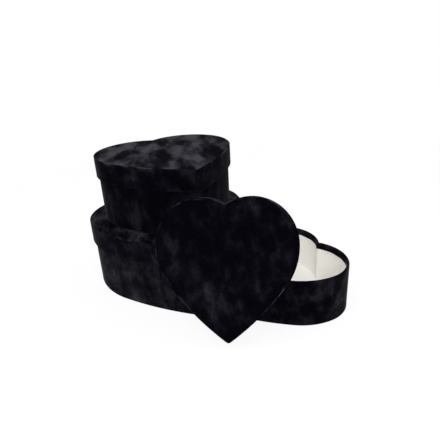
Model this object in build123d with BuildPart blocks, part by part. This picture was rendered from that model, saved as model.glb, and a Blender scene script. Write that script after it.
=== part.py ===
from build123d import *
import os
from dataclasses import dataclass
from math import acos, atan2, cos, degrees, hypot, pi, radians, sin, sqrt

# A set of three nesting heart-shaped gift boxes. Each is a chipboard box and a telescoping lid,
# wrapped in black velvet outside and lined with off-white paper inside. The large box stands on
# the table, the medium one stands on its lid, and the small one is open beside them, with its
# lid leaning on the other two. Millimetres, +Z up, origin under the large box, at the middle of
# the line through the centres of its two lobes. The tip of the large heart points to -Y.

os.makedirs("parts", exist_ok=True)

# Widths over the lids, heights of the boxes to their rims, and depths of the lids
large_lid_width = 220.0
large_wall_height = 92.5
large_lid_depth = 29.0
medium_lid_width = 188.0
medium_wall_height = 85.5
medium_lid_depth = 28.0
small_lid_width = 159.0
small_wall_height = 61.0
small_lid_depth = 24.0

# Sheet stock
board_thickness = 1.6
velvet_thickness = 0.8
lining_thickness = 0.3
floor_sheet_thickness = 0.4
card_thickness = 0.8

# Velvet turned in over the rims, up inside the lids, and under the bottoms
rim_hem = 8.5
lid_hem = 8.0
bottom_turn_in = 12.0
card_margin = 1.5
card_clearance = 0.2

# Fit of a lid on its box, and the pile between pieces that stand on each other
lid_clearance = 0.4
seat_gap = 0.2

# The heart, as shares of its width, with the radius of its folded tip
lobe_radius_share = 0.325
length_share = 1.015
shoulder_radius_share = 0.487
side_radius_share = 1.94
tip_radius = 4.0
least_tip_radius = 0.8

# How the set is laid out
medium_side_shift = 2.8
medium_turn = 1.8
medium_gap = 0.35
small_turn = -86.2
small_gap = 7.2
lean_angle = 19.9
lean_turn = -30.7
lean_roll = 1.8
lean_reach = 6.4
lean_side = 32.7
lean_gap = 0.4
lean_floor_gap = 0.3


class Heart:
    """Outline of a heart: lobe, shoulder and side arcs on each half, tangent to each other."""

    def __init__(self, width):
        self.lobe_radius = lobe_radius_share * width
        self.lobe_x = width / 2 - self.lobe_radius
        self.shoulder_radius = shoulder_radius_share * width
        self.shoulder_x = width / 2 - self.shoulder_radius
        self.side_radius = side_radius_share * width
        sharp_tip = length_share * width - self.lobe_radius
        offset = self.side_radius - self.shoulder_radius
        reach = hypot(self.shoulder_x, sharp_tip)
        along = (reach**2 + offset**2 - self.side_radius**2) / (2 * offset)
        self.shoulder_turn = acos(along / reach) - atan2(sharp_tip, self.shoulder_x)
        self.side_x = self.shoulder_x - offset * cos(self.shoulder_turn)
        self.side_y = offset * sin(self.shoulder_turn)

    def tip(self, inset):
        """Radius of the rounded tip, and how far below the lobes its centre is."""
        radius = max(tip_radius - inset, least_tip_radius)
        return radius, sqrt((self.side_radius - inset - radius) ** 2 - self.side_x**2) - self.side_y

    def side_support(self, angle, inset):
        """How far the side reaches in a direction this angle below the line of the lobes."""
        if angle < self.shoulder_turn:
            return self.shoulder_x * cos(angle) + self.shoulder_radius - inset
        return self.side_x * cos(angle) - self.side_y * sin(angle) + self.side_radius - inset

    def tip_support(self, angle, inset):
        """How far the tip reaches in a direction this angle off the heart's axis."""
        radius, drop = self.tip(inset)
        return drop * cos(angle) + radius

    def face(self, inset):
        """The heart as a flat face, drawn in by inset all round."""
        lobe = self.lobe_radius - inset
        tip_round, drop = self.tip(inset)
        turn = degrees(self.shoulder_turn)
        end = degrees(atan2(self.side_y + drop, -self.side_x))
        with BuildSketch() as sketch:
            with BuildLine():
                CenterArc((self.lobe_x, 0), lobe, 0, degrees(acos(-self.lobe_x / lobe)))
                CenterArc((self.shoulder_x, 0), self.shoulder_radius - inset, -turn, turn)
                CenterArc((self.side_x, self.side_y), self.side_radius - inset, -end, end - turn)
                CenterArc((0, -drop), tip_round, -90, 90 - end)
                mirror(about=Plane.YZ)
            make_face()
        return sketch.sketch


@dataclass
class Box:
    """One box of the set, with the planes that its bottom and its lid's free edge lie in."""

    name: str
    lid_width: float
    wall_height: float
    lid_depth: float
    base_plane: Plane = None
    lid_plane: Plane = None

    def __post_init__(self):
        self.heart = Heart(self.lid_width)

    def lid_seat(self):
        """Height of the lid's free edge while the lid is on the box."""
        return self.wall_height + seat_gap - lid_ceiling(self)

    def total_height(self):
        """Height of the box with its lid on."""
        return self.lid_seat() + self.lid_depth


def lid_ceiling(box):
    """Height of the lining inside the top of a lid, over the lid's free edge."""
    return box.lid_depth - velvet_thickness - board_thickness - lining_thickness


# Insets of the layers from the outside of the lid
rim_board_inset = velvet_thickness
rim_inside_inset = rim_board_inset + board_thickness
wall_inset = rim_inside_inset + velvet_thickness + lid_clearance
wall_board_inset = wall_inset + velvet_thickness
wall_inside_inset = wall_board_inset + board_thickness

large = Box("large", large_lid_width, large_wall_height, large_lid_depth)
medium = Box("medium", medium_lid_width, medium_wall_height, medium_lid_depth)
small = Box("small", small_lid_width, small_wall_height, small_lid_depth)

# The large box stands at the origin with its lid on
large.base_plane = Plane.XY
large.lid_plane = Plane.XY.offset(large.lid_seat())

# The leaning lid: across it, up its face, out of its face, and level towards its front
lean = radians(lean_angle)
lean_round = radians(lean_turn)
roll = radians(lean_roll)
level_across = Vector(cos(lean_round), sin(lean_round), 0)
level_front = Vector(sin(lean_round), -cos(lean_round), 0)
face_up = level_front * -sin(lean) + Vector(0, 0, 1) * cos(lean)
face_out = level_front * cos(lean) + Vector(0, 0, 1) * sin(lean)
across = level_across * cos(roll) + face_up * sin(roll)

# Its tip stands on the table, and the tip of the large lid reaches a little into its hollow
lid_tip_round, lid_tip_drop = small.heart.tip(0)
lid_height = (lid_tip_drop * cos(roll) + lid_tip_round) * cos(lean) + lean_floor_gap
large_tip_reach = large.heart.tip_support(lean_round, 0)
plane_reach = large_tip_reach * cos(lean) + large.total_height() * sin(lean) - lean_reach
lid_front = (plane_reach - lid_height * sin(lean)) / cos(lean)
large_tip = Vector(0, -large.heart.tip(0)[1], 0)
lid_side = large_tip.dot(level_across) + lean_side - lid_tip_drop * sin(roll)
lid_origin = level_across * lid_side + level_front * lid_front + Vector(0, 0, 1) * lid_height
small.lid_plane = Plane(origin=lid_origin, x_dir=across, z_dir=face_out)

# The medium box stands on the large lid, set back so that the leaning lid clears its wall
lobe_top = lid_height + small.heart.lobe_radius * cos(lean)
medium_reach = medium.heart.tip_support(lean_round - radians(medium_turn), wall_inset)
medium_front = (plane_reach - medium_gap - lobe_top * sin(lean)) / cos(lean) - medium_reach
medium_y = (medium_side_shift * level_front.X - medium_front) / cos(lean_round)
medium_origin = Vector(medium_side_shift, medium_y, large.total_height() + seat_gap)
medium_across = Vector(cos(radians(medium_turn)), sin(radians(medium_turn)), 0)
medium.base_plane = Plane(origin=medium_origin, x_dir=medium_across, z_dir=(0, 0, 1))
medium.lid_plane = medium.base_plane.offset(medium.lid_seat())

# The small box stands beside the right side of the large one, just behind the leaning lid
half_turn = -radians(small_turn) / 2
side_out = Vector(cos(half_turn), -sin(half_turn), 0)
side_reach = sum(box.heart.side_support(half_turn, wall_inset) for box in (large, small)) + small_gap
front_angle = pi / 2 - lean_round + radians(small_turn)
small_reach = small.heart.side_support(front_angle, wall_inset)
small_front = (plane_reach - lean_gap - small.wall_height * sin(lean)) / cos(lean) - small_reach
spread = side_out.X * level_front.Y - side_out.Y * level_front.X
small_x = (side_reach * level_front.Y - small_front * side_out.Y) / spread
small_y = (small_front * side_out.X - side_reach * level_front.X) / spread
small_across = Vector(cos(radians(small_turn)), sin(radians(small_turn)), 0)
small.base_plane = Plane(origin=(small_x, small_y, 0), x_dir=small_across, z_dir=(0, 0, 1))


def ring(plane, box, low, high, outer, inner):
    """A heart-shaped band between two heights and two insets."""
    with BuildPart() as band:
        with BuildSketch(plane.offset(low)):
            add(box.heart.face(outer))
            add(box.heart.face(inner), mode=Mode.SUBTRACT)
        extrude(amount=high - low)
    return band.part


def sheet(plane, box, low, high, inset):
    """A flat heart between two heights."""
    with BuildPart() as plate:
        with BuildSketch(plane.offset(low)):
            add(box.heart.face(inset))
        extrude(amount=high - low)
    return plate.part


def save(part, box, piece):
    """Label a finished piece and write it out."""
    name = f"{box.name}_{piece}"
    part.label = name
    export_step(part, f"parts/{name}.step")


def make_base(box):
    """The open box: board wall and bottom, velvet wrap, paper linings and the card underneath."""
    plane = box.base_plane
    board_low = card_thickness + velvet_thickness
    floor_low = board_low + board_thickness
    hem_low = box.wall_height - rim_hem
    board_high = box.wall_height - velvet_thickness
    hem_inset = wall_inside_inset + velvet_thickness
    turn_in_inset = wall_inset + bottom_turn_in

    with BuildPart() as wall_band:
        add(ring(plane, box, board_low, board_high, wall_board_inset, wall_inside_inset))
    save(wall_band.part, box, "wall_band")

    with BuildPart() as base_board:
        add(sheet(plane, box, board_low, floor_low, wall_inside_inset))
    save(base_board.part, box, "base_board")

    # One strip of velvet: up the outside, over the rim, down inside as a hem, and under the bottom
    with BuildPart() as wall_velvet:
        add(ring(plane, box, card_thickness, box.wall_height, wall_inset, wall_board_inset))
        add(ring(plane, box, board_high, box.wall_height, wall_inset, hem_inset))
        add(ring(plane, box, hem_low, box.wall_height, wall_inside_inset, hem_inset))
        add(ring(plane, box, card_thickness, board_low, wall_inset, turn_in_inset))
    save(wall_velvet.part, box, "wall_velvet")

    with BuildPart() as wall_lining:
        add(ring(plane, box, floor_low, hem_low, wall_inside_inset, wall_inside_inset + lining_thickness))
    save(wall_lining.part, box, "wall_lining")

    floor_inset = wall_inside_inset + lining_thickness
    with BuildPart() as floor_lining:
        add(sheet(plane, box, floor_low, floor_low + floor_sheet_thickness, floor_inset))
    save(floor_lining.part, box, "floor_lining")

    # The card covers the turned-in velvet, and its raised middle is glued to the base board
    with BuildPart() as underside_card:
        add(sheet(plane, box, 0, card_thickness, wall_inset + card_margin))
        add(sheet(plane, box, card_thickness, board_low, turn_in_inset + card_clearance))
    save(underside_card.part, box, "underside_card")


def make_lid(box):
    """The lid: board top and rim, a velvet sheet over the top, a velvet strip round the rim, linings."""
    plane = box.lid_plane
    board_high = box.lid_depth - velvet_thickness
    board_low = board_high - board_thickness
    lining_low = lid_ceiling(box)
    hem_inset = rim_inside_inset + velvet_thickness

    with BuildPart() as lid_board:
        add(sheet(plane, box, board_low, board_high, rim_board_inset))
    save(lid_board.part, box, "lid_board")

    with BuildPart() as lid_rim_band:
        add(ring(plane, box, velvet_thickness, board_low, rim_board_inset, rim_inside_inset))
    save(lid_rim_band.part, box, "lid_rim_band")

    with BuildPart() as lid_top_velvet:
        add(sheet(plane, box, board_high, box.lid_depth, 0))
    save(lid_top_velvet.part, box, "lid_top_velvet")

    # One strip of velvet: down the outside of the rim, round its free edge and up inside as a hem
    with BuildPart() as lid_rim_velvet:
        add(ring(plane, box, 0, board_high, 0, rim_board_inset))
        add(ring(plane, box, 0, velvet_thickness, 0, hem_inset))
        add(ring(plane, box, 0, lid_hem, rim_inside_inset, hem_inset))
    save(lid_rim_velvet.part, box, "lid_rim_velvet")

    with BuildPart() as lid_lining:
        add(sheet(plane, box, lining_low, board_low, rim_inside_inset))
    save(lid_lining.part, box, "lid_lining")

    lining_inset = rim_inside_inset + lining_thickness
    with BuildPart() as lid_rim_lining:
        add(ring(plane, box, lid_hem, lining_low, rim_inside_inset, lining_inset))
    save(lid_rim_lining.part, box, "lid_rim_lining")


for box in (large, medium, small):
    make_base(box)
    make_lid(box)
    print(box.name, "box at", box.base_plane.origin, "lid at", box.lid_plane.origin, box.lid_plane.z_dir)
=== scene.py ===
"""Looks of a set of three heart-shaped gift boxes in black velvet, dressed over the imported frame.

Everything is in metres in the frame's own axes: +Z up, the tip of the large heart towards -Y.
"""
import logging
import math
from dataclasses import dataclass, field
from enum import Enum
from typing import Sequence

import bmesh
import bpy
from mathutils import Matrix, Vector


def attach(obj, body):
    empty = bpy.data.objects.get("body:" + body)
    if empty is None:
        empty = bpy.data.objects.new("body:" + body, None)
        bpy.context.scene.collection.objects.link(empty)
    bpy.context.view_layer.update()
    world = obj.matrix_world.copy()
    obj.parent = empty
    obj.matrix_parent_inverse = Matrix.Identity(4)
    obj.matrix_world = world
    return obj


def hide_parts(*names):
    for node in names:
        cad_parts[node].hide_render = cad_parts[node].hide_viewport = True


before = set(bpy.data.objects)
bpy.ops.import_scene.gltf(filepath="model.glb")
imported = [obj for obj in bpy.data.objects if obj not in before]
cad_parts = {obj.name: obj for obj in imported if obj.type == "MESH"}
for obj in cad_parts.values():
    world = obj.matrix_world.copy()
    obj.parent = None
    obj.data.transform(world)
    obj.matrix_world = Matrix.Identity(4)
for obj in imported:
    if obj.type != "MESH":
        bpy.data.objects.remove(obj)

LOG = logging.getLogger("heart_boxes")
IMAGE_SIDE = 440
SENSOR_WIDTH = 36.0
SMOOTH_ANGLE = math.radians(40)
UP = Vector((0, 0, 1))
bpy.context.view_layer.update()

Point = tuple[float, float]
Triple = tuple[float, float, float]
Colour = tuple[float, float, float, float]


@dataclass(frozen=True)
class Stock:
    """Sizes of the sheet stock as in the construction, with the tucks of the paper and the strips' lap."""

    board: float = 0.0016
    velvet: float = 0.0008
    lining: float = 0.0003
    floor_sheet: float = 0.0004
    card: float = 0.0008
    rim_hem: float = 0.0085
    lid_hem: float = 0.008
    turn_in: float = 0.012
    card_margin: float = 0.0015
    card_clearance: float = 0.0002
    lid_clearance: float = 0.0004
    wall_paper_tuck: float = 0.004
    lid_paper_tuck: float = 0.0002
    lap: float = 0.012

    @property
    def rim_inside(self) -> float:
        """Inset of the inner face of a lid's rim board."""
        return self.velvet + self.board

    @property
    def wall(self) -> float:
        """Inset of the velvet on a box's wall."""
        return self.rim_inside + self.velvet + self.lid_clearance

    @property
    def wall_board(self) -> float:
        """Inset of the outer face of the wall board."""
        return self.wall + self.velvet

    @property
    def wall_inside(self) -> float:
        """Inset of the inner face of the wall board."""
        return self.wall_board + self.board


@dataclass(frozen=True)
class Folds:
    """Small sizes of the folds, lips and edges that wrapping by hand gives."""

    bottom_corner: float = 0.0014
    cut_edge: float = 0.0003
    paper_edge: float = 0.0002
    paper_edge_drop: float = 0.0001
    paper_flat_reach: float = 0.004
    paper_dip_reach: float = 0.012
    paper_dip: float = 0.00005
    flat_reach: float = 0.006
    lip: float = 0.0005
    lip_start_degrees: float = 40
    lip_tuck: float = 0.0006
    lip_height: float = 0.0016
    lip_hollow: float = 0.0003
    cover_gap: float = 0.0003
    cover_edge: float = 0.0004
    cover_edge_drop: float = 0.0005
    cover_shoulder_reach: float = 0.002
    cover_shoulder_drop: float = 0.00004
    cover_flat_reach: float = 0.006
    cover_middle_reach: float = 0.015


@dataclass(frozen=True)
class Lines:
    """How many steps each stretch of a wrapped piece is made in."""

    bottom_corner: int = 5
    wall: int = 14
    paper: int = 10
    lid_rim: int = 8
    round_fold: int = 12
    cut_edge: int = 3
    lip: int = 7
    cover_edge: int = 4


@dataclass(frozen=True)
class FoldGlint:
    """How strongly each fold gets a painted sheen highlight, a light line along it, from 0 to 1."""

    box_rim: float = 0.25
    lip: float = 1.0
    under_lip: float = 0.2
    lid_edge: float = 0.1
    cover_edge: float = 0.3


STOCK = Stock()
FOLDS = Folds()
LINES = Lines()
FOLD_GLINT = FoldGlint()


@dataclass(frozen=True)
class Arc:
    """One arc of an outline, by its centre, radius, end angles and number of steps."""

    centre: Point
    radius: float
    start: float
    end: float
    steps: int

    def points(self) -> list[Point]:
        """Points along the arc.

        Returns:
            The points in order, without the last one.
        """
        turns = [self.start + (self.end - self.start) * i / self.steps for i in range(self.steps)]
        x, y = self.centre
        return [(x + self.radius * math.cos(a), y + self.radius * math.sin(a)) for a in turns]


@dataclass(frozen=True)
class HeartOutline:
    """Outline of a heart: tip, side, shoulder and lobe arcs on each half, and a soft cleft."""

    width: float
    lobe_share: float = 0.325
    length_share: float = 1.015
    shoulder_share: float = 0.487
    side_share: float = 1.94
    tip_radius: float = 0.004
    least_tip_radius: float = 0.0008
    cleft_radius: float = 0.0008
    steps: tuple[int, int, int, int, int] = (6, 16, 20, 44, 6)

    def half(self, inset: float) -> list[Arc]:
        """Arcs of the right half, from the tip to the cleft, drawn in by an inset.

        Args:
            inset: How far inside the full outline the arcs run.

        Returns:
            The tip, side, shoulder, lobe and cleft arcs, in that order.
        """
        lobe = self.lobe_share * self.width
        lobe_x = self.width / 2 - lobe
        shoulder = self.shoulder_share * self.width
        shoulder_x = self.width / 2 - shoulder
        side = self.side_share * self.width
        sharp_tip = self.length_share * self.width - lobe
        offset = side - shoulder
        reach = math.hypot(shoulder_x, sharp_tip)
        along = (reach**2 + offset**2 - side**2) / (2 * offset)
        turn = math.acos(along / reach) - math.atan2(sharp_tip, shoulder_x)
        side_x, side_y = shoulder_x - offset * math.cos(turn), offset * math.sin(turn)
        tip = max(self.tip_radius - inset, self.least_tip_radius)
        drop = math.sqrt((side - inset - tip) ** 2 - side_x**2) - side_y
        end = math.atan2(side_y + drop, -side_x)
        cleft_y = math.sqrt((lobe - inset + self.cleft_radius) ** 2 - lobe_x**2)
        lean = math.atan2(cleft_y, lobe_x)
        counts = self.steps
        return [
            Arc((0, -drop), tip, -math.pi / 2, -end, counts[0]),
            Arc((side_x, side_y), side - inset, -end, -turn, counts[1]),
            Arc((shoulder_x, 0), shoulder - inset, -turn, 0, counts[2]),
            Arc((lobe_x, 0), lobe - inset, 0, math.pi - lean, counts[3]),
            Arc((0, cleft_y), self.cleft_radius, -lean, -math.pi / 2, counts[4]),
        ]

    def ring(self, inset: float) -> list[Point]:
        """Points once round the heart.

        Args:
            inset: How far inside the full outline they run.

        Returns:
            The points from the tip over the right half to the cleft, and back over the left half.
        """
        arcs = self.half(inset)
        right = [point for arc in arcs for point in arc.points()]
        cleft = arcs[-1]
        valley = (0.0, cleft.centre[1] - cleft.radius)
        return right + [valley] + [(-x, y) for x, y in reversed(right[1:])]

    def tip_reach(self, inset: float) -> float:
        """How far the tip is below the line of the lobes."""
        tip = self.half(inset)[0]
        return tip.radius - tip.centre[1]

    def measure(self, inset: float) -> tuple[float, float]:
        """Measures of the heart.

        Args:
            inset: How far inside the full outline they are taken.

        Returns:
            The length round the heart, and its area.
        """
        ring = self.ring(inset)
        pairs = list(zip(ring, ring[1:] + ring[:1]))
        length = sum(math.dist(a, b) for a, b in pairs)
        area = sum(a[0] * b[1] - b[0] * a[1] for a, b in pairs) / 2
        return length, area


@dataclass(frozen=True)
class Ripple:
    """One wave round a heart: its size, how many go round, its drift with height, and its phase."""

    size: float
    count: int
    drift: float = 0.0
    phase: float = 0.0

    def at(self, turn: float, height: float) -> float:
        """Size of the wave at a place round the heart and a height."""
        return self.size * math.sin(2 * math.pi * self.count * turn + self.drift * height + self.phase)


class Wander(Enum):
    """How a line of a hand-wrapped piece strays from its true course, as ripples."""

    STILL = ()
    CUT_EDGE = (
        Ripple(size=0.00035, count=4, phase=0.6),
        Ripple(size=0.000245, count=9, phase=2.1),
        Ripple(size=0.000175, count=23, phase=4.0),
    )
    SLACK = (
        Ripple(size=0.0001, count=7, drift=60),
        Ripple(size=0.00006, count=17, drift=-45, phase=1.3),
    )
    PAPER = (
        Ripple(size=0.00006, count=3, drift=40, phase=0.4),
        Ripple(size=0.00006, count=3, drift=-40, phase=0.4),
        Ripple(size=0.00006, count=11, drift=30),
    )

    def stray(self, turn: float, height: float) -> tuple[float, float]:
        """Offset of a point from its true course.

        Args:
            turn: Place round the heart, from 0 to 1.
            height: Height of the line, in metres.

        Returns:
            The extra inset and the extra height.
        """
        sway = sum(ripple.at(turn, height) for ripple in self.value)
        return (0.0, sway) if self is Wander.CUT_EDGE else (sway, 0.0)


@dataclass(frozen=True)
class Station:
    """One line of a wrapped piece: how far in and how high it runs, the weight of its painted fold highlight
    and how it strays.
    """

    inset: float
    height: float
    # Weight of the painted sheen highlight along this line.
    fold: float = 0.0
    wander: Wander = Wander.STILL


def bend(
    centre: Point,
    radius: float,
    angles: Point,
    steps: int,
    fold: float = 0.0,
    wander: Wander = Wander.STILL,
) -> list[Station]:
    """Stations of a rounded fold, seen with the heart's inside to the right.

    Args:
        centre: Inset and height of the fold's centre.
        radius: Radius of the fold.
        angles: First and last angle in degrees, 0 towards the inside and 90 upwards.
        steps: Number of steps between the two.
        fold: How strongly the fold gets a painted sheen highlight line.
        wander: How the lines stray.

    Returns:
        The stations in order.
    """
    inset, height = centre
    start, end = angles
    turns = [math.radians(start + (end - start) * i / steps) for i in range(steps + 1)]
    return [
        Station(inset + radius * math.cos(a), height + radius * math.sin(a), fold, wander) for a in turns
    ]


def run(first: Station, last: Station, steps: int, wander: Wander) -> list[Station]:
    """Stations evenly between two lines.

    Args:
        first: The line before them.
        last: The line after them.
        steps: Number of steps between the two.
        wander: How the lines stray.

    Returns:
        The stations in order, without the two lines themselves.
    """
    wide, high = last.inset - first.inset, last.height - first.height
    shares = [i / steps for i in range(1, steps)]
    return [Station(first.inset + wide * s, first.height + high * s, wander=wander) for s in shares]


@dataclass(frozen=True)
class Placement:
    """Where a box or a lid stands: its origin and its axes across and out."""

    origin: Vector
    across: Vector
    out: Vector

    def matrix(self) -> Matrix:
        """Matrix from the piece's own axes to the frame."""
        turn = Matrix((self.across, self.out.cross(self.across), self.out)).transposed()
        return Matrix.Translation(self.origin) @ turn.to_4x4()

    @staticmethod
    def from_node(
        node: str, across: Vector, out: Vector, outline: HeartOutline, inset: float, low: float
    ) -> "Placement":
        """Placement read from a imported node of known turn.

        Args:
            node: Name of a node whose outline is the heart at an inset.
            across: Its axis across the heart.
            out: Its axis out of the box's mouth or the lid's face.
            outline: The heart's outline.
            inset: Inset of the node's outside.
            low: Height of the node's lowest face over the placement's origin.

        Returns:
            The placement whose origin lies between the lobes.
        """
        along = out.cross(across)
        points = [vertex.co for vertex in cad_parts[node].data.vertices]
        side = [across.dot(p) for p in points]
        tip = min(along.dot(p) for p in points) + outline.tip_reach(inset)
        floor = min(out.dot(p) for p in points) - low
        return Placement(across * (max(side) + min(side)) / 2 + along * tip + out * floor, across, out)


class Wrap:
    """Maker of pieces that run round one heart."""

    def __init__(self, outline: HeartOutline, placement: Placement) -> None:
        """Keep the heart and where it stands."""
        self.outline = outline
        self.matrix = placement.matrix()

    def line(self, station: Station) -> list[Vector]:
        """Points of one station round the heart.

        Args:
            station: The line to follow.

        Returns:
            The points in the frame, from the tip on.
        """
        ring = self.outline.ring(station.inset)
        points = []
        for i, (x, y) in enumerate(ring):
            before, after = ring[i - 1], ring[(i + 1) % len(ring)]
            way = Vector((after[0] - before[0], after[1] - before[1])).normalized()
            inward, rise = station.wander.stray(i / len(ring), station.height)
            place = Vector((x - way.y * inward, y + way.x * inward, station.height + rise))
            points.append(self.matrix @ place)
        return points

    def loft(self, name: str, stations: Sequence[Station], closed: bool) -> bpy.types.Object:
        """A piece through stations, each extruded from the one before.

        Args:
            name: Name of the new piece.
            stations: Its lines, in order.
            closed: Whether the last line joins the first, or both ends are capped.

        Returns:
            The new object, smooth, at the origin.
        """
        lines = [self.line(station) for station in stations]
        count = len(lines[0])
        half_width = self.outline.width / 2
        bpy.ops.object.select_all(action="DESELECT")
        bpy.ops.mesh.primitive_circle_add(vertices=count, radius=half_width, fill_type="NOTHING")
        piece = bpy.context.object
        piece.name = name
        piece.data.name = name
        bpy.ops.object.mode_set(mode="EDIT")
        bpy.ops.mesh.select_mode(type="EDGE")
        bpy.ops.mesh.select_all(action="SELECT")
        self._settle(piece, lines[0], 0)
        for number, points in enumerate(lines[1:], start=1):
            bpy.ops.mesh.extrude_edges_indiv()
            self._settle(piece, points, number)
        if closed:
            self._select_lines(piece, count, (0, len(lines) - 1))
            bpy.ops.mesh.bridge_edge_loops()
        else:
            for number in (0, len(lines) - 1):
                self._select_lines(piece, count, (number,))
                bpy.ops.mesh.edge_face_add()
        bpy.ops.mesh.select_all(action="SELECT")
        bpy.ops.mesh.normals_make_consistent(inside=False)
        bpy.ops.object.mode_set(mode="OBJECT")
        # Weight of the painted sheen highlight along the folds, one value a line, read by the velvet
        # material.
        fold_glint = piece.data.attributes.new("fold", "FLOAT", "POINT")
        fold_glint.data.foreach_set("value", [station.fold for station in stations for _ in range(count)])
        bpy.ops.object.shade_smooth_by_angle(angle=SMOOTH_ANGLE)
        return piece

    @staticmethod
    def _settle(piece: bpy.types.Object, points: Sequence[Vector], number: int) -> None:
        """Move the newest line of points to its place.

        Args:
            piece: The piece in edit mode.
            points: Places of the line's points.
            number: Which line it is, from 0.
        """
        mesh = bmesh.from_edit_mesh(piece.data)
        mesh.verts.ensure_lookup_table()
        mesh.verts.index_update()
        first = number * len(points)
        if number == 0:
            for vertex, point in zip(mesh.verts, points):
                vertex.co = point
        else:
            for vertex in mesh.verts[first:]:
                neighbours = (edge.other_vert(vertex) for edge in vertex.link_edges)
                source = next(other for other in neighbours if other.index < first)
                vertex.co = points[source.index % len(points)]
        bmesh.update_edit_mesh(piece.data)

    @staticmethod
    def _select_lines(piece: bpy.types.Object, count: int, numbers: Sequence[int]) -> None:
        """Select only the edges that run along some of the lines.

        Args:
            piece: The piece in edit mode.
            count: Number of points in a line.
            numbers: Which lines, from 0.
        """
        bpy.ops.mesh.select_all(action="DESELECT")
        mesh = bmesh.from_edit_mesh(piece.data)
        mesh.verts.index_update()
        for edge in mesh.edges:
            rows = {vertex.index // count for vertex in edge.verts}
            edge.select_set(len(rows) == 1 and rows.pop() in numbers)
        bmesh.update_edit_mesh(piece.data)


class Graph:
    """Short way to place and join nodes in a node tree."""

    # Where a colour mix has its factor and two colours, and its result
    MIX_INPUTS = (0, 6, 7)
    MIX_RESULT = 2

    def __init__(self, tree: bpy.types.NodeTree) -> None:
        """Keep the tree."""
        self.tree = tree

    def add(self, kind: str, **values: object) -> bpy.types.Node:
        """A node with properties and input values set by name.

        Args:
            kind: Blender's type of node.
            **values: Properties of the node, or inputs by name with spaces as underscores.

        Returns:
            The new node.
        """
        node = self.tree.nodes.new(kind)
        for name, value in values.items():
            if hasattr(node, name):
                setattr(node, name, value)
            else:
                node.inputs[name.replace("_", " ")].default_value = value
        return node

    def join(self, source: bpy.types.NodeSocket, target: bpy.types.NodeSocket) -> None:
        """Link two sockets."""
        self.tree.links.new(source, target)

    def feed(self, target: bpy.types.NodeSocket, value: object) -> None:
        """Link an input to a socket, or set it to a plain value.

        Args:
            target: The input.
            value: Another node's output, or a number or colour.
        """
        if isinstance(value, bpy.types.NodeSocket):
            self.join(value, target)
        else:
            target.default_value = value

    def math(self, operation: str, first: object, second: object) -> bpy.types.NodeSocket:
        """A math node on two sockets or numbers.

        Args:
            operation: Blender's name of the operation.
            first: First socket or number.
            second: Second socket or number.

        Returns:
            The result's socket.
        """
        node = self.add("ShaderNodeMath", operation=operation)
        for target, value in zip(node.inputs, (first, second)):
            self.feed(target, value)
        return node.outputs[0]

    def mix(self, factor: object, first: object, second: object, blend: str = "MIX") -> bpy.types.NodeSocket:
        """A colour mix on sockets or values.

        Args:
            factor: Share of the second colour.
            first: First colour.
            second: Second colour.
            blend: Blender's name of the way to mix.

        Returns:
            The result's socket.
        """
        node = self.add("ShaderNodeMix", data_type="RGBA", blend_type=blend)
        for place, value in zip(self.MIX_INPUTS, (factor, first, second)):
            self.feed(node.inputs[place], value)
        return node.outputs[self.MIX_RESULT]

    def step(self, value: bpy.types.NodeSocket, limits: Point) -> bpy.types.NodeSocket:
        """A smooth step of a value from 0 to 1.

        Args:
            value: The value's socket.
            limits: Where the step starts and ends.

        Returns:
            The result's socket.
        """
        low, high = limits
        node = self.add("ShaderNodeMapRange", interpolation_type="SMOOTHSTEP", From_Min=low, From_Max=high)
        self.join(value, node.inputs["Value"])
        return node.outputs["Result"]


def new_group(
    name: str, inputs: Sequence[str], outputs: Sequence[str]
) -> tuple[Graph, bpy.types.Node, bpy.types.Node]:
    """An empty shader node group that takes a coordinate and plain values.

    Args:
        name: Name of the group.
        inputs: Names of the values that it takes besides the coordinate.
        outputs: Names of the values that it puts out.

    Returns:
        The group's graph, its input node and its output node.
    """
    tree = bpy.data.node_groups.new(name, "ShaderNodeTree")
    tree.interface.new_socket("Coordinate", in_out="INPUT", socket_type="NodeSocketVector")
    for sockets, way in ((inputs, "INPUT"), (outputs, "OUTPUT")):
        for socket in sockets:
            tree.interface.new_socket(socket, in_out=way, socket_type="NodeSocketFloat")
    graph = Graph(tree)
    return graph, graph.add("NodeGroupInput"), graph.add("NodeGroupOutput")


def new_material(name: str) -> tuple[bpy.types.Material, Graph, bpy.types.Node]:
    """A material of its own with one principled shader.

    Args:
        name: Name of the material.

    Returns:
        The material, its graph and its shader node.
    """
    material = bpy.data.materials.new(name)
    material.use_nodes = True
    graph = Graph(material.node_tree)
    return material, graph, material.node_tree.nodes["Principled BSDF"]


@dataclass(frozen=True)
class Noise:
    """One layer of noise: its scale against the scale that it follows, its detail and its roughness."""

    scale_share: float
    detail: float
    roughness: float = 0.5


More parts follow.
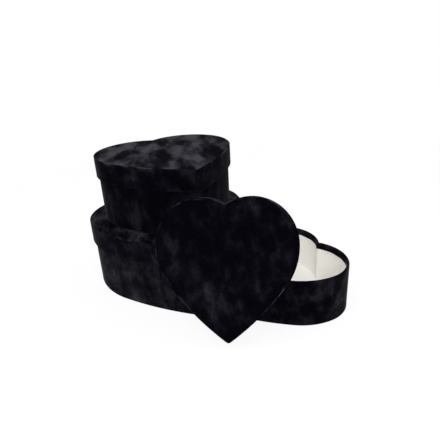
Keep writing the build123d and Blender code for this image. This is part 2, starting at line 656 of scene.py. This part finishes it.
@dataclass(frozen=True)
class BrushedPile:
    """Marks of velvet: patches where the pile lies apart, which the materials lighten with painted sheen,
    strokes in them, tufts, and stretches of painted fold highlight.
    """

    clouds: Noise = Noise(scale_share=0.3, detail=0.0)
    patches: Noise = Noise(scale_share=1.0, detail=1.5)
    strokes: Noise = Noise(scale_share=3.2, detail=2.0, roughness=0.55)
    # Noise that breaks the painted fold highlight into stretches.
    glint_stretches: Noise = Noise(scale_share=0.8, detail=2.0, roughness=0.6)
    tufts: Noise = Noise(scale_share=1.0, detail=1.0, roughness=0.6)
    noise_middle: float = 0.5
    stroke_weight: float = 0.35
    patch_limits: Point = (-1.0, 1.0)
    tuft_limits: Point = (0.25, 0.75)
    glint_stretch_limits: Point = (0.50, 0.66)
    tuft_height_share: float = 0.4
    patch_height_share: float = 0.6

    def layer(self, graph: Graph, source: bpy.types.Node, noise: Noise, scale: str) -> bpy.types.NodeSocket:
        """One layer of noise in the group.

        Args:
            graph: The group's graph.
            source: The group's input node.
            noise: The layer's values.
            scale: Name of the group's input that the layer's size follows.

        Returns:
            The socket of its value.
        """
        node = graph.add("ShaderNodeTexNoise", Detail=noise.detail, Roughness=noise.roughness)
        graph.join(source.outputs["Coordinate"], node.inputs["Vector"])
        graph.join(graph.math("MULTIPLY", source.outputs[scale], noise.scale_share), node.inputs["Scale"])
        return node.outputs["Fac"]

    def build(self) -> bpy.types.NodeTree:
        """The shared group.

        Returns:
            Its node tree.
        """
        graph, source, result = new_group(
            "brushed_pile",
            ("Patch Scale", "Softness", "Sparseness", "Cloudiness", "Tuft Scale"),
            ("Patch", "Tuft", "Glints", "Height"),
        )
        cloud, patch, stroke, glint_stretches = (
            self.layer(graph, source, noise, "Patch Scale")
            for noise in (self.clouds, self.patches, self.strokes, self.glint_stretches)
        )
        tuft = self.layer(graph, source, self.tufts, "Tuft Scale")
        cloud, patch, stroke = (
            graph.math("SUBTRACT", value, self.noise_middle) for value in (cloud, patch, stroke)
        )
        uneven = graph.math("MULTIPLY", stroke, self.stroke_weight)
        clouds = graph.math("MULTIPLY", cloud, source.outputs["Cloudiness"])
        lay = graph.math("ADD", patch, graph.math("ADD", uneven, clouds))
        spread = graph.step(graph.math("DIVIDE", lay, source.outputs["Softness"]), self.patch_limits)
        # Mask of the brush marks, which the materials lighten with painted sheen.
        brushed_sheen = graph.math("POWER", spread, source.outputs["Sparseness"])
        tuft_height = graph.math("MULTIPLY", tuft, self.tuft_height_share)
        patch_height = graph.math("MULTIPLY", spread, self.patch_height_share)
        graph.join(brushed_sheen, result.inputs["Patch"])
        graph.join(graph.step(tuft, self.tuft_limits), result.inputs["Tuft"])
        # Stretches along which the folds get their painted sheen highlight.
        graph.join(graph.step(glint_stretches, self.glint_stretch_limits), result.inputs["Glints"])
        graph.join(graph.math("ADD", tuft_height, patch_height), result.inputs["Height"])
        return graph.tree


@dataclass(frozen=True)
class PaperFibre:
    """Marks of paper and board: a cloudy tone, fine fibres and specks."""

    cloud_scale: float = 35.0
    cloud_detail: float = 3.0
    cloud_roughness: float = 0.6
    fibre_detail: float = 4.0
    fibre_roughness: float = 0.65
    fibre_distortion: float = 1.5
    speck_scale: float = 700.0
    speck_size: float = 0.16

    def build(self) -> bpy.types.NodeTree:
        """The shared group.

        Returns:
            Its node tree.
        """
        graph, source, result = new_group("paper_fibre", ("Fibre Scale",), ("Cloud", "Fibre", "Speck"))
        cloud = graph.add("ShaderNodeTexNoise", Scale=self.cloud_scale, Detail=self.cloud_detail,
                          Roughness=self.cloud_roughness)
        fibre = graph.add("ShaderNodeTexNoise", Detail=self.fibre_detail, Roughness=self.fibre_roughness,
                          Distortion=self.fibre_distortion)
        speck = graph.add("ShaderNodeTexVoronoi", feature="F1", Scale=self.speck_scale)
        for node in (cloud, fibre, speck):
            graph.join(source.outputs["Coordinate"], node.inputs["Vector"])
        graph.join(source.outputs["Fibre Scale"], fibre.inputs["Scale"])
        specks = graph.math("LESS_THAN", speck.outputs["Distance"], self.speck_size)
        graph.join(cloud.outputs["Fac"], result.inputs["Cloud"])
        graph.join(fibre.outputs["Fac"], result.inputs["Fibre"])
        graph.join(specks, result.inputs["Speck"])
        return graph.tree


@dataclass(frozen=True)
class VelvetFinish:
    """Black velvet: the tone of flat pile and the lighter tone of its brush marks, which also paints the
    sheen, and the size, lay and share of its marks.
    """

    name: str
    # Lighter tone of the brush marks: partly the pile's lay, partly painted sheen, set per surface for how
    # bright it looks under the light.
    brushed_sheen: Colour
    softness: float = 0.46
    sparseness: float = 3.4
    patch_scale: float = 66.0
    cloudiness: float = 0.3
    turn_degrees: float = 0.0
    stretch: Triple = (1.0, 0.66, 0.62)
    shift: Triple = (0.0, 0.0, 0.0)
    flat: Colour = (0.0012, 0.0010, 0.0023, 1)
    # Colour of the painted sheen highlight on the folds.
    fold_glint: Colour = (0.032, 0.030, 0.037, 1)
    tuft_scale: float = 1000.0
    tuft_contrast: float = 0.8
    tuft_shade: float = 0.6
    polish: float = 0.12
    bump: float = 0.35
    bump_depth: float = 0.0005
    specular: float = 0.01
    sheen: float = 0.10
    sheen_roughness: float = 0.25
    sheen_tint: Colour = (0.80, 0.78, 0.92, 1)

    def build(self, pile: bpy.types.NodeTree) -> bpy.types.Material:
        """The material, with the shared pile group in it.

        Args:
            pile: The group.

        Returns:
            The new material.
        """
        material, graph, shader = new_material(self.name)
        place = graph.add("ShaderNodeTexCoord")
        turn = math.radians(self.turn_degrees)
        brush = graph.add("ShaderNodeVectorRotate", rotation_type="Z_AXIS", Angle=turn)
        lay = graph.add("ShaderNodeMapping", Location=self.shift, Scale=self.stretch)
        graph.join(place.outputs["Object"], brush.inputs["Vector"])
        graph.join(brush.outputs["Vector"], lay.inputs["Vector"])
        marks = graph.add(
            "ShaderNodeGroup", node_tree=pile, Patch_Scale=self.patch_scale, Softness=self.softness,
            Sparseness=self.sparseness, Cloudiness=self.cloudiness, Tuft_Scale=self.tuft_scale)
        graph.join(lay.outputs["Vector"], marks.inputs["Coordinate"])
        # Painted sheen: the brush marks take the lighter tone in the base colour.
        tone = graph.mix(marks.outputs["Patch"], self.flat, self.brushed_sheen)
        tufts = graph.math("MULTIPLY", marks.outputs["Tuft"], self.tuft_contrast)
        tone = graph.mix(1.0, tone, graph.math("ADD", tufts, self.tuft_shade), "MULTIPLY")
        # Painted sheen highlight: where the fold weight and the stretch mask meet, the tone turns to the
        # highlight colour.
        fold = graph.add("ShaderNodeAttribute", attribute_name="fold")
        glint_mask = graph.math("MULTIPLY", fold.outputs["Fac"], marks.outputs["Glints"])
        graph.join(graph.mix(glint_mask, tone, self.fold_glint), shader.inputs["Base Color"])
        polished = graph.math("MULTIPLY", marks.outputs["Patch"], self.polish)
        graph.join(graph.math("SUBTRACT", 1.0, polished), shader.inputs["Roughness"])
        bump = graph.add("ShaderNodeBump", Strength=self.bump, Distance=self.bump_depth)
        graph.join(marks.outputs["Height"], bump.inputs["Height"])
        graph.join(bump.outputs["Normal"], shader.inputs["Normal"])
        shader.inputs["Specular IOR Level"].default_value = self.specular
        shader.inputs["Sheen Weight"].default_value = self.sheen
        shader.inputs["Sheen Roughness"].default_value = self.sheen_roughness
        shader.inputs["Sheen Tint"].default_value = self.sheen_tint
        return material


GREEN_SHARE = 0.965
BLUE_SHARE = 1.11
BLUE_LIFT = 0.0028


def grey(tone: float) -> Colour:
    """A grey with the violet cast of the pile, stronger where it is dark."""
    return (tone, tone * GREEN_SHARE, tone * BLUE_SHARE + BLUE_LIFT, 1)


# Lighter flat tone of the large box's rim and wall: painted light from the bounce off the floor.
LIGHTER_FLAT = (0.0020, 0.0018, 0.0034, 1)
UPRIGHT = (1.0, 1.0, 0.75)
# Lit and shaded copies of one black velvet: each surface's tones are set to how bright it looks under the
# light. The tops' light marks are painted sheen of a grazing view, the leaning small lid's face is darker
# without it, and the medium wall is darker as painted shade.
VELVETS = (
    # Shift picked so the right part, shaded by the medium box and the leaning lid, is dark: painted shade.
    VelvetFinish("large_top", grey(0.044), softness=0.30, sparseness=2.0, patch_scale=54, cloudiness=0.25,
                 shift=(5.48, 0.82, 3.34), stretch=(1.0, 0.45, 0.62), turn_degrees=12, sheen=0.012),
    VelvetFinish("large_rim", grey(0.015), shift=(1.1, 0.4, 0.2), stretch=UPRIGHT, flat=LIGHTER_FLAT),
    VelvetFinish("large_wall", grey(0.026), softness=0.52, sparseness=2.2, shift=(0.25, 2.51, 0.14),
                 stretch=UPRIGHT, flat=LIGHTER_FLAT),
    VelvetFinish("medium_top", grey(0.037), softness=0.21, sparseness=1.9, patch_scale=44, cloudiness=0.12,
                 shift=(3.08, 5.94, 4.16), stretch=(1.0, 0.36, 0.62), turn_degrees=16, sheen=0.012),
    VelvetFinish("medium_rim", grey(0.015), shift=(2.89, 3.28, 5.5), stretch=UPRIGHT, sheen=0.07),
    # Darker tone, and large clouds whose shift gives a lighter and a darker side: painted shade, as this
    # wall stands by the leaning lid and over the large lid's dark top.
    VelvetFinish("medium_wall", grey(0.013), sparseness=3.0, cloudiness=0.5, shift=(5.97, 5.7, 3.27),
                 stretch=(1.0, 1.0, 0.5), sheen=0.08),
    VelvetFinish("small_top", grey(0.015), sparseness=4.2, shift=(1.38, 1.65, 4.67), sheen=0.03),
    VelvetFinish("small_rim", grey(0.018), shift=(0.87, 2.73, 4.62), stretch=UPRIGHT, sheen=0.04),
    VelvetFinish("small_wall", grey(0.024), softness=0.5, sparseness=3.2, shift=(0.31, 1.39, 3.01),
                 stretch=UPRIGHT),
)


@dataclass(frozen=True)
class PaperFinish:
    """Paper, card or chipboard: its tone, its fibres and specks, and how rough it is."""

    name: str
    tone: Colour
    fibre: Colour
    speck: Colour
    cloud: float = 0.12
    fibre_scale: float = 900.0
    speck_share: float = 0.0
    roughness: float = 0.85
    roughness_spread: float = 0.12
    bump: float = 0.15
    bump_depth: float = 0.0002
    specular: float = 0.25

    def build(self, fibres: bpy.types.NodeTree) -> bpy.types.Material:
        """The material, with the shared fibre group in it.

        Args:
            fibres: The group.

        Returns:
            The new material.
        """
        material, graph, shader = new_material(self.name)
        place = graph.add("ShaderNodeTexCoord")
        marks = graph.add("ShaderNodeGroup", node_tree=fibres, Fibre_Scale=self.fibre_scale)
        graph.join(place.outputs["Object"], marks.inputs["Coordinate"])
        clouds = graph.math("MULTIPLY", marks.outputs["Cloud"], self.cloud)
        threads = graph.math("MULTIPLY", marks.outputs["Fibre"], self.cloud)
        specks = graph.math("MULTIPLY", marks.outputs["Speck"], self.speck_share)
        tone = graph.mix(graph.math("ADD", clouds, threads), self.tone, self.fibre)
        graph.join(graph.mix(specks, tone, self.speck), shader.inputs["Base Color"])
        uneven = graph.math("MULTIPLY", marks.outputs["Fibre"], self.roughness_spread)
        smoothest = self.roughness - self.roughness_spread / 2
        graph.join(graph.math("ADD", uneven, smoothest), shader.inputs["Roughness"])
        bump = graph.add("ShaderNodeBump", Strength=self.bump, Distance=self.bump_depth)
        graph.join(marks.outputs["Fibre"], bump.inputs["Height"])
        graph.join(bump.outputs["Normal"], shader.inputs["Normal"])
        shader.inputs["Specular IOR Level"].default_value = self.specular
        return material


CREAM_LINING = PaperFinish(
    "cream_lining", tone=(0.925, 0.91, 0.86, 1), fibre=(0.87, 0.84, 0.77, 1), speck=(0.7, 0.66, 0.58, 1),
)
# Floor sheet: a cooler paper, made whiter than the wall paper as painted light for the stronger light on the
# upward-facing floor.
FLOOR_PAPER_LIT_WHITER = PaperFinish(
    "floor_paper_lit_whiter", tone=(0.955, 0.945, 0.925, 1), fibre=(0.91, 0.895, 0.865, 1),
    speck=(0.75, 0.72, 0.66, 1),
)
GREY_CHIPBOARD = PaperFinish(
    "grey_chipboard", tone=(0.33, 0.28, 0.22, 1), fibre=(0.20, 0.16, 0.12, 1), speck=(0.08, 0.06, 0.05, 1),
    cloud=0.5, fibre_scale=500.0, speck_share=0.6, roughness=0.9, bump=0.3,
)
BLACK_CARD = PaperFinish(
    "black_card", tone=(0.012, 0.012, 0.013, 1), fibre=(0.028, 0.028, 0.030, 1), speck=(0.05, 0.05, 0.05, 1),
    cloud=0.4, fibre_scale=700.0, speck_share=0.15, roughness=0.75,
)


class Finishes:
    """All the finishes of the set, built once."""

    def __init__(self) -> None:
        """Build the shared groups and the materials."""
        pile, fibres = BrushedPile().build(), PaperFibre().build()
        self.velvet = {finish.name: finish.build(pile) for finish in VELVETS}
        self.lining = CREAM_LINING.build(fibres)
        self.floor = FLOOR_PAPER_LIT_WHITER.build(fibres)
        self.board = GREY_CHIPBOARD.build(fibres)
        self.card = BLACK_CARD.build(fibres)


@dataclass
class HeartBox:
    """One box of the set with its lid: sizes, places, and the pieces that dress it."""

    name: str
    lid_width: float
    wall_height: float
    lid_depth: float
    base_across: Vector
    lid_across: Vector
    lid_out: Vector
    finishes: Finishes
    outline: HeartOutline = field(init=False)
    base: Wrap = field(init=False)
    lid: Wrap = field(init=False)

    def __post_init__(self) -> None:
        """Work out the heart, and where the box and its lid stand."""
        self.outline = HeartOutline(self.lid_width)
        base = Placement.from_node(
            self.node("wall_velvet"), self.base_across, UP, self.outline, inset=STOCK.wall, low=STOCK.card)
        lid = Placement.from_node(
            self.node("lid_rim_velvet"), self.lid_across, self.lid_out, self.outline, inset=0.0, low=0.0)
        self.base, self.lid = Wrap(self.outline, base), Wrap(self.outline, lid)

    def node(self, piece: str) -> str:
        """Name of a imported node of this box."""
        return f"{self.name}_{piece}"

    def dress(
        self, piece: bpy.types.Object, part: str, body: str, finish: bpy.types.Material
    ) -> None:
        """Finish a new piece and hang it on its body.

        Args:
            piece: The new piece.
            part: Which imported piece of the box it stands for.
            body: Whether it moves with the box or the lid.
            finish: Its material.
        """
        piece.data.materials.clear()
        piece.data.materials.append(finish)
        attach(piece, f"{self.name}_{body}")
        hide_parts(self.node(part))
        LOG.info("%s: %d faces", piece.name, len(piece.data.polygons))

    def strip(self, piece: bpy.types.Object, inset: float, width: float, backing: str) -> None:
        """Work out the length of a strip of velvet round the heart at an inset, with its lap; nothing is
        kept.
        """
        length = self.outline.measure(inset)[0] + STOCK.lap

    def wall_velvet(self) -> None:
        """The wrap of the box: under the bottom, up the wall, over the rim and down inside as a hem."""
        outside, turned_in = STOCK.wall, STOCK.wall + STOCK.turn_in
        hem_back = STOCK.wall_inside + STOCK.lining
        hem_face = hem_back + STOCK.velvet
        rim = (hem_face - outside) / 2
        low, top, hem = STOCK.card, self.wall_height, self.wall_height - STOCK.rim_hem
        corner, edge = FOLDS.bottom_corner, FOLDS.cut_edge
        foot, shoulder = Station(outside, low + corner), Station(outside, top - rim)
        stations = [
            Station(turned_in, low + STOCK.velvet),
            Station(turned_in, low),
            *bend((outside + corner, low + corner), corner, (270, 180), LINES.bottom_corner),
            *run(foot, shoulder, LINES.wall, Wander.SLACK),
            *bend((outside + rim, top - rim), rim, (180, 0), LINES.round_fold, fold=FOLD_GLINT.box_rim),
            *bend((hem_face - edge, hem + edge), edge, (0, -90), LINES.cut_edge, wander=Wander.CUT_EDGE),
            Station(hem_back, hem, wander=Wander.CUT_EDGE),
            Station(hem_back, top - STOCK.velvet),
            Station(STOCK.wall_board, top - STOCK.velvet),
            Station(STOCK.wall_board, low + STOCK.velvet),
        ]
        piece = self.base.loft(f"{self.name}_wall_wrap", stations, closed=True)
        self.dress(piece, "wall_velvet", "box", self.finishes.velvet[f"{self.name}_wall"])
        self.strip(piece, STOCK.wall, top + STOCK.rim_hem + STOCK.turn_in + 2 * rim, "wall_band")

    def linings(self) -> None:
        """The paper inside the box: a strip round the wall, tucked behind the hem, and a floor sheet."""
        floor = STOCK.card + STOCK.velvet + STOCK.board
        tuck = self.wall_height - STOCK.rim_hem + STOCK.wall_paper_tuck
        back, face = STOCK.wall_inside, STOCK.wall_inside + STOCK.lining
        stations = [
            Station(back, tuck),
            Station(back, floor),
            Station(face, floor),
            *run(Station(face, floor), Station(face, tuck), LINES.paper, Wander.PAPER),
            Station(face, tuck),
        ]
        wall = self.base.loft(f"{self.name}_wall_paper", stations, closed=True)
        self.dress(wall, "wall_lining", "box", self.finishes.lining)
        top = floor + STOCK.floor_sheet
        sheet = [
            Station(face, floor),
            Station(face, top - FOLDS.paper_edge_drop),
            Station(face + FOLDS.paper_edge, top),
            Station(face + FOLDS.paper_flat_reach, top),
            Station(face + FOLDS.paper_dip_reach, top - FOLDS.paper_dip),
        ]
        heart = self.base.loft(f"{self.name}_floor_paper", sheet, closed=False)
        self.dress(heart, "floor_lining", "box", self.finishes.floor)

    def underside(self) -> None:
        """The card under the bottom, with its edge rubbed round."""
        margin, edge = STOCK.wall + STOCK.card_margin, FOLDS.cut_edge
        middle = STOCK.wall + STOCK.turn_in + STOCK.card_clearance
        stations = [
            Station(middle, STOCK.card + STOCK.velvet),
            Station(middle, STOCK.card),
            Station(margin, STOCK.card),
            *bend((margin + edge, edge), edge, (180, 270), LINES.cut_edge),
            Station(margin + FOLDS.flat_reach, 0),
        ]
        piece = self.base.loft(f"{self.name}_bottom_card", stations, closed=False)
        self.dress(piece, "underside_card", "box", self.finishes.card)

    def lid_rim_velvet(self) -> None:
        """The strip round the lid's rim: its top edge folded to a lip, its free edge turned in as a hem."""
        top, board_top = self.lid_depth, self.lid_depth - STOCK.velvet
        hem_back, hem_face = STOCK.rim_inside, STOCK.rim_inside + STOCK.velvet
        fold, hem = hem_face / 2, STOCK.lid_hem
        lip, edge = FOLDS.lip, FOLDS.cut_edge
        lip_angles = (FOLDS.lip_start_degrees, 180)
        under_lip = top - FOLDS.lip_height
        stations = [
            Station(STOCK.velvet + FOLDS.lip_tuck, board_top),
            *bend((lip, top - lip), lip, lip_angles, LINES.lip, fold=FOLD_GLINT.lip),
            Station(FOLDS.lip_hollow, under_lip, FOLD_GLINT.under_lip),
            *run(Station(0.0, under_lip), Station(0.0, fold), LINES.lid_rim, Wander.SLACK),
            *bend((fold, fold), fold, (180, 360), LINES.round_fold, fold=FOLD_GLINT.lid_edge),
            *bend((hem_face - edge, hem - edge), edge, (0, 90), LINES.cut_edge, wander=Wander.CUT_EDGE),
            Station(hem_back, hem, wander=Wander.CUT_EDGE),
            Station(hem_back, STOCK.velvet),
            Station(STOCK.velvet, STOCK.velvet),
            Station(STOCK.velvet, board_top),
        ]
        rim = self.lid.loft(f"{self.name}_rim_wrap", stations, closed=True)
        self.dress(rim, "lid_rim_velvet", "lid", self.finishes.velvet[f"{self.name}_rim"])
        self.strip(rim, 0.0, top + STOCK.lid_hem + 2 * fold, "lid_rim_band")

    def lid_top_velvet(self) -> None:
        """The heart over the lid's top, inside the lip of the rim's strip."""
        top, board_top = self.lid_depth, self.lid_depth - STOCK.velvet
        inner, edge = STOCK.velvet + FOLDS.cover_gap, FOLDS.cover_edge
        edge_centre = (inner + edge, top - FOLDS.cover_edge_drop)
        sheet = [
            Station(inner, board_top),
            *bend(edge_centre, edge, (180, 90), LINES.cover_edge, fold=FOLD_GLINT.cover_edge),
            Station(inner + FOLDS.cover_shoulder_reach, top - FOLDS.cover_shoulder_drop),
            Station(inner + FOLDS.cover_flat_reach, top),
            Station(inner + FOLDS.cover_middle_reach, top),
        ]
        cover = self.lid.loft(f"{self.name}_top_cover", sheet, closed=False)
        self.dress(cover, "lid_top_velvet", "lid", self.finishes.velvet[f"{self.name}_top"])
        area = self.outline.measure(0.0)[1]
        size = (self.lid_width, self.outline.tip_reach(0.0) + self.outline.lobe_share * self.lid_width)

    def lid_linings(self) -> None:
        """The paper inside the lid: a heart under the board and a strip above the hem."""
        high = self.lid_depth - STOCK.velvet - STOCK.board
        low, tuck = high - STOCK.lining, STOCK.lid_hem - STOCK.lid_paper_tuck
        back, face = STOCK.rim_inside, STOCK.rim_inside + STOCK.lining
        sheet = [Station(back, high), Station(back, low), Station(back + FOLDS.flat_reach, low)]
        heart = self.lid.loft(f"{self.name}_lid_paper", sheet, closed=False)
        self.dress(heart, "lid_lining", "lid", self.finishes.lining)
        strip = [Station(back, tuck), Station(back, low), Station(face, low), Station(face, tuck)]
        band = self.lid.loft(f"{self.name}_rim_paper", strip, closed=True)
        self.dress(band, "lid_rim_lining", "lid", self.finishes.lining)

    def boards(self) -> None:
        """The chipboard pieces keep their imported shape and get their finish."""
        for piece in ("wall_band", "base_board", "lid_board", "lid_rim_band"):
            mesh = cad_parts[self.node(piece)].data
            mesh.materials.clear()
            mesh.materials.append(self.finishes.board)

    def build(self) -> None:
        """Make and dress every piece of the box and its lid."""
        self.wall_velvet()
        self.linings()
        self.underside()
        self.lid_rim_velvet()
        self.lid_top_velvet()
        self.lid_linings()
        self.boards()


def level(turn: float) -> Vector:
    """Level axis at an angle from +X, in degrees."""
    return Vector((math.cos(math.radians(turn)), math.sin(math.radians(turn)), 0))


@dataclass(frozen=True)
class BoxSet:
    """The whole set: its finishes, how each box is turned, and how the small lid leans, in degrees."""

    finishes: Finishes
    medium_turn: float = 1.8
    small_turn: float = -86.2
    lean_angle: float = 19.9
    lean_turn: float = -30.7
    lean_roll: float = 1.8

    def boxes(self) -> list[HeartBox]:
        """The boxes with the turns that the frame has.

        Returns:
            The large, the medium and the small box.
        """
        lean, roll = math.radians(self.lean_angle), math.radians(self.lean_roll)
        across = level(self.lean_turn)
        front = level(self.lean_turn - 90)
        face_up = front * -math.sin(lean) + UP * math.cos(lean)
        face_out = front * math.cos(lean) + UP * math.sin(lean)
        lid_across = across * math.cos(roll) + face_up * math.sin(roll)
        large, medium, small = level(0), level(self.medium_turn), level(self.small_turn)
        return [
            HeartBox("large", lid_width=0.220, wall_height=0.0925, lid_depth=0.029,
                     base_across=large, lid_across=large, lid_out=UP, finishes=self.finishes),
            HeartBox("medium", lid_width=0.188, wall_height=0.0855, lid_depth=0.028,
                     base_across=medium, lid_across=medium, lid_out=UP, finishes=self.finishes),
            HeartBox("small", lid_width=0.159, wall_height=0.061, lid_depth=0.024,
                     base_across=small, lid_across=lid_across, lid_out=face_out, finishes=self.finishes),
        ]


@dataclass(frozen=True)
class Softbox:
    """A square soft light: its name, place, side and power in watts."""

    name: str
    place: Triple
    side: float
    power: float

    def build(self, target: Triple) -> None:
        """Hang the light so that it faces a target.

        Args:
            target: The place that it faces.
        """
        bpy.ops.object.light_add(type="AREA", location=self.place)
        light = bpy.context.object
        light.name = self.name
        light.data.size = self.side
        light.data.energy = self.power
        aim = Vector(target) - Vector(self.place)
        light.rotation_euler = aim.to_track_quat("-Z", "Y").to_euler()


SOFTBOXES = (
    Softbox("overhead_softbox", place=(-0.35, 0.1, 1.5), side=1.2, power=4.6),
    Softbox("left_softbox", place=(-0.6, -0.4, 1.0), side=0.9, power=4.7),
    Softbox("right_softbox", place=(0.9, -0.3, 1.0), side=0.9, power=4.7),
    Softbox("front_softbox", place=(-0.25, -1.0, 0.7), side=0.5, power=4.3),
)


def seen_directly(graph: Graph) -> bpy.types.NodeSocket:
    """Mask of what the camera sees, straight or in a reflection or through glass.

    Args:
        graph: Graph of a material or a world.

    Returns:
        The socket of a value that is 1 there and 0 elsewhere.
    """
    path = graph.add("ShaderNodeLightPath")
    mirrored = graph.math("MAXIMUM", path.outputs["Is Glossy Ray"], path.outputs["Is Transmission Ray"])
    return graph.math("MAXIMUM", path.outputs["Is Camera Ray"], mirrored)


@dataclass(frozen=True)
class Studio:
    """Camera at the photograph's place, soft lights and a pale floor."""

    camera_at: Triple = (-0.1305, -0.5341, 0.3142)
    yaw: float = 21.0
    pitch: float = 21.57
    roll: float = -3.38
    focal_pixels: float = 399.7
    centre_pixels: Point = (214.3, 201.6)
    nearest_seen: float = 0.01
    middle: Triple = (0.02, -0.06, 0.06)
    floor_side: float = 12.0
    floor_height: float = -0.0003
    floor_tone: Colour = (0.92, 0.92, 0.92, 1)
    floor_roughness: float = 0.9
    floor_fade: Point = (0.3, 1.0)
    near_whiteness: float = 0.90
    room_light: float = 0.57
    room_white: Colour = (1, 1, 1, 1)

    def camera(self) -> None:
        """Place the camera that the photograph was taken with."""
        yaw, pitch, roll = (math.radians(v) for v in (self.yaw, self.pitch, self.roll))
        ahead = Vector((math.sin(yaw), math.cos(yaw), 0))
        right = Vector((ahead.y, -ahead.x, 0))
        look = ahead * math.cos(pitch) - UP * math.sin(pitch)
        rise = ahead * math.sin(pitch) + UP * math.cos(pitch)
        x_axis = right * math.cos(roll) + rise * math.sin(roll)
        y_axis = rise * math.cos(roll) - right * math.sin(roll)
        bpy.ops.object.camera_add()
        camera = bpy.context.object
        turn = Matrix((x_axis, y_axis, -look)).transposed().to_4x4()
        camera.matrix_world = Matrix.Translation(self.camera_at) @ turn
        camera.data.sensor_width = SENSOR_WIDTH
        camera.data.lens = self.focal_pixels * SENSOR_WIDTH / IMAGE_SIDE
        camera.data.shift_x = (IMAGE_SIDE / 2 - self.centre_pixels[0]) / IMAGE_SIDE
        camera.data.shift_y = (self.centre_pixels[1] - IMAGE_SIDE / 2) / IMAGE_SIDE
        camera.data.clip_start = self.nearest_seen
        bpy.context.scene.camera = camera

    def floor(self) -> None:
        """A pale floor that is white to the camera and still takes a faint shadow."""
        bpy.ops.object.select_all(action="DESELECT")
        bpy.ops.mesh.primitive_plane_add(size=self.floor_side, location=(0, 0, self.floor_height))
        floor = bpy.context.object
        floor.name = "pale_floor"
        material, graph, shader = new_material("pale_floor")
        shader.inputs["Base Color"].default_value = self.floor_tone
        shader.inputs["Roughness"].default_value = self.floor_roughness
        glow = graph.add("ShaderNodeEmission", Strength=1.0)
        place = graph.add("ShaderNodeTexCoord")
        distance = graph.add("ShaderNodeVectorMath", operation="LENGTH")
        graph.join(place.outputs["Object"], distance.inputs[0])
        far = graph.step(distance.outputs["Value"], self.floor_fade)
        added = graph.math("MULTIPLY", far, 1 - self.near_whiteness)
        white = graph.math("ADD", added, self.near_whiteness)
        seen = graph.math("MULTIPLY", seen_directly(graph), white)
        blend = graph.add("ShaderNodeMixShader")
        graph.join(seen, blend.inputs[0])
        graph.join(shader.outputs[0], blend.inputs[1])
        graph.join(glow.outputs[0], blend.inputs[2])
        graph.join(blend.outputs[0], graph.tree.nodes["Material Output"].inputs["Surface"])
        floor.data.materials.append(material)

    def world(self) -> None:
        """White behind the set, and a soft even light from all round."""
        world = bpy.data.worlds.new("studio")
        world.use_nodes = True
        bpy.context.scene.world = world
        graph = Graph(world.node_tree)
        background = world.node_tree.nodes["Background"]
        added = graph.math("MULTIPLY", seen_directly(graph), 1 - self.room_light)
        graph.join(graph.math("ADD", added, self.room_light), background.inputs["Strength"])
        background.inputs["Color"].default_value = self.room_white

    def build(self) -> None:
        """Set the camera, the lights, the floor and the view."""
        self.camera()
        for softbox in SOFTBOXES:
            softbox.build(self.middle)
        self.floor()
        self.world()
        bpy.context.scene.view_settings.view_transform = "Standard"


def main() -> None:
    """Dress the whole set and light it."""
    logging.basicConfig(level=logging.INFO, format="%(name)s %(message)s")
    for box in BoxSet(Finishes()).boxes():
        box.build()
        LOG.info("%s box is dressed", box.name)
    Studio().build()


if __name__ == "__main__":
    main()
